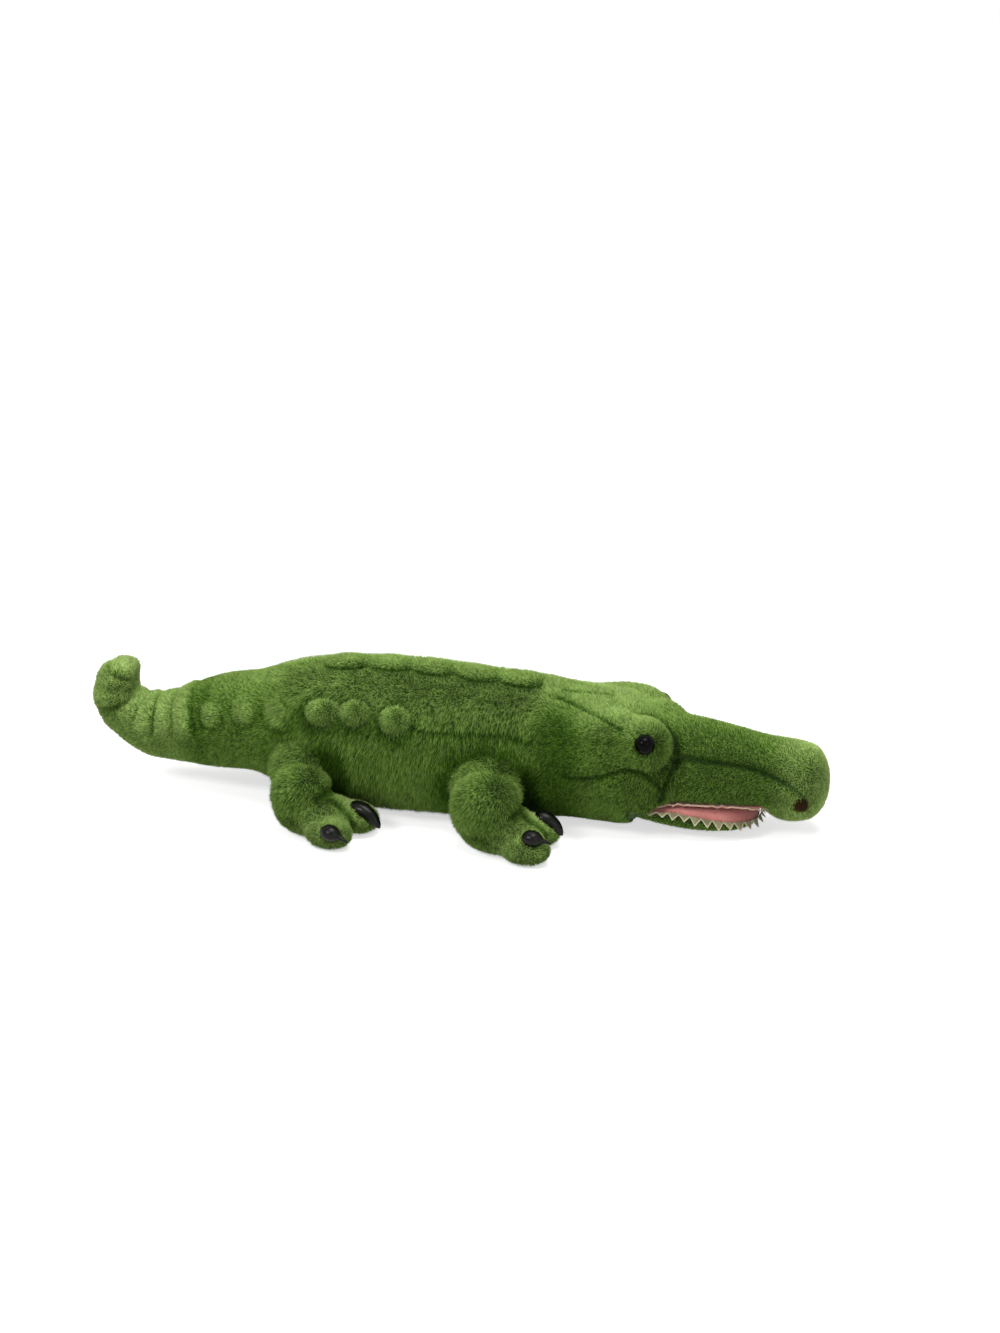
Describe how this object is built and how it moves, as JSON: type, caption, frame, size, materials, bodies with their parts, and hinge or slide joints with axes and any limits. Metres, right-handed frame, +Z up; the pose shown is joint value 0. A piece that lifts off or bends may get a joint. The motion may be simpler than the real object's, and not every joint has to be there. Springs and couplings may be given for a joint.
{
  "type": "plush crocodile",
  "caption": "Stuffed plush crocodile lying on its belly, with a curled ribbed tail, splayed clawed feet, glossy eyes and a long snout over a slightly open felt-toothed jaw.",
  "frame": {"origin": "centre of the footprint at the floor under the belly", "axes": "+X towards the snout along the body, +Y to the toy's left, +Z up from the floor"},
  "size_m": [0.6226, 0.2502, 0.1263],
  "materials": {
    "long_pile": "long green plush pile with lighter tips, combed down",
    "short_pile": "short, lighter green plush pile",
    "felt_cloth": "pale grey-beige felt, matt",
    "velour_lining": "dusty pink velour, matt",
    "nostril_cloth": "dark red-brown short pile",
    "stuffing_fill": "white polyester fibre filling",
    "gloss_black": "glossy black moulded plastic",
    "washer_plastic": "pale translucent moulded plastic"
  },
  "bodies": {
    "torso": {"torso_skin": "long_pile", "belly_panel": "long_pile", "torso_stuffing": "stuffing_fill", "back_strip": "short_pile", "flank_puffs_right": "short_pile", "flank_puffs_left": "short_pile"},
    "head": {"head_skin": "long_pile", "snout_skin": "long_pile", "snout_tip": "short_pile", "head_stuffing": "stuffing_fill", "eye_right": "gloss_black", "eye_left": "gloss_black", "eye_washer_right": "washer_plastic", "eye_washer_left": "washer_plastic", "nostril_right": "nostril_cloth", "nostril_left": "nostril_cloth", "palate_lining": "velour_lining", "lip_trim": "felt_cloth"},
    "jaw": {"jaw_skin": "long_pile", "jaw_stuffing": "stuffing_fill", "mouth_floor": "velour_lining", "tooth_strip": "felt_cloth"},
    "tail": {"tail_skin": "long_pile", "tail_stuffing": "stuffing_fill"},
    "front_leg_right": {"front_leg_right_skin": "long_pile", "front_leg_right_foot": "short_pile", "front_leg_right_stuffing": "stuffing_fill", "front_leg_right_claw_1": "gloss_black", "front_leg_right_claw_2": "gloss_black", "front_leg_right_washer_1": "washer_plastic", "front_leg_right_washer_2": "washer_plastic"},
    "front_leg_left": {"front_leg_left_skin": "long_pile", "front_leg_left_foot": "short_pile", "front_leg_left_stuffing": "stuffing_fill", "front_leg_left_claw_1": "gloss_black", "front_leg_left_claw_2": "gloss_black", "front_leg_left_washer_1": "washer_plastic", "front_leg_left_washer_2": "washer_plastic"},
    "rear_leg_right": {"rear_leg_right_skin": "long_pile", "rear_leg_right_foot": "short_pile", "rear_leg_right_stuffing": "stuffing_fill", "rear_leg_right_claw_1": "gloss_black", "rear_leg_right_claw_2": "gloss_black", "rear_leg_right_washer_1": "washer_plastic", "rear_leg_right_washer_2": "washer_plastic"},
    "rear_leg_left": {"rear_leg_left_skin": "long_pile", "rear_leg_left_foot": "short_pile", "rear_leg_left_stuffing": "stuffing_fill", "rear_leg_left_claw_1": "gloss_black", "rear_leg_left_claw_2": "gloss_black", "rear_leg_left_washer_1": "washer_plastic", "rear_leg_left_washer_2": "washer_plastic"}
  },
  "joints": [
    {"name": "neck_sway", "type": "hinge", "parent": "torso", "child": "head", "pos_m": [0.0733, 0, 0.06], "axis": [0, 0, 1], "range_deg": [-10, 10], "stiffness_Nm_per_rad": 0.4},
    {"name": "jaw_hinge", "type": "hinge", "parent": "head", "child": "jaw", "pos_m": [0.1663, 0, 0.0125], "axis": [0, 1, 0], "range_deg": [-3, 15], "stiffness_Nm_per_rad": 0.25},
    {"name": "tail_sway", "type": "hinge", "parent": "torso", "child": "tail", "pos_m": [-0.1697, 0, 0.0625], "axis": [0, 0, 1], "range_deg": [-20, 20], "stiffness_Nm_per_rad": 0.3},
    {"name": "front_leg_right_swing", "type": "hinge", "parent": "torso", "child": "front_leg_right", "pos_m": [0.0363, -0.054, 0.046], "axis": [0, 0, 1], "range_deg": [-15, 15], "stiffness_Nm_per_rad": 0.15},
    {"name": "front_leg_left_swing", "type": "hinge", "parent": "torso", "child": "front_leg_left", "pos_m": [0.0363, 0.054, 0.046], "axis": [0, 0, 1], "range_deg": [-15, 15], "stiffness_Nm_per_rad": 0.15},
    {"name": "rear_leg_right_swing", "type": "hinge", "parent": "torso", "child": "rear_leg_right", "pos_m": [-0.1217, -0.049, 0.044], "axis": [0, 0, 1], "range_deg": [-15, 10], "stiffness_Nm_per_rad": 0.15},
    {"name": "rear_leg_left_swing", "type": "hinge", "parent": "torso", "child": "rear_leg_left", "pos_m": [-0.1217, 0.049, 0.044], "axis": [0, 0, 1], "range_deg": [-10, 15], "stiffness_Nm_per_rad": 0.15}
  ]
}
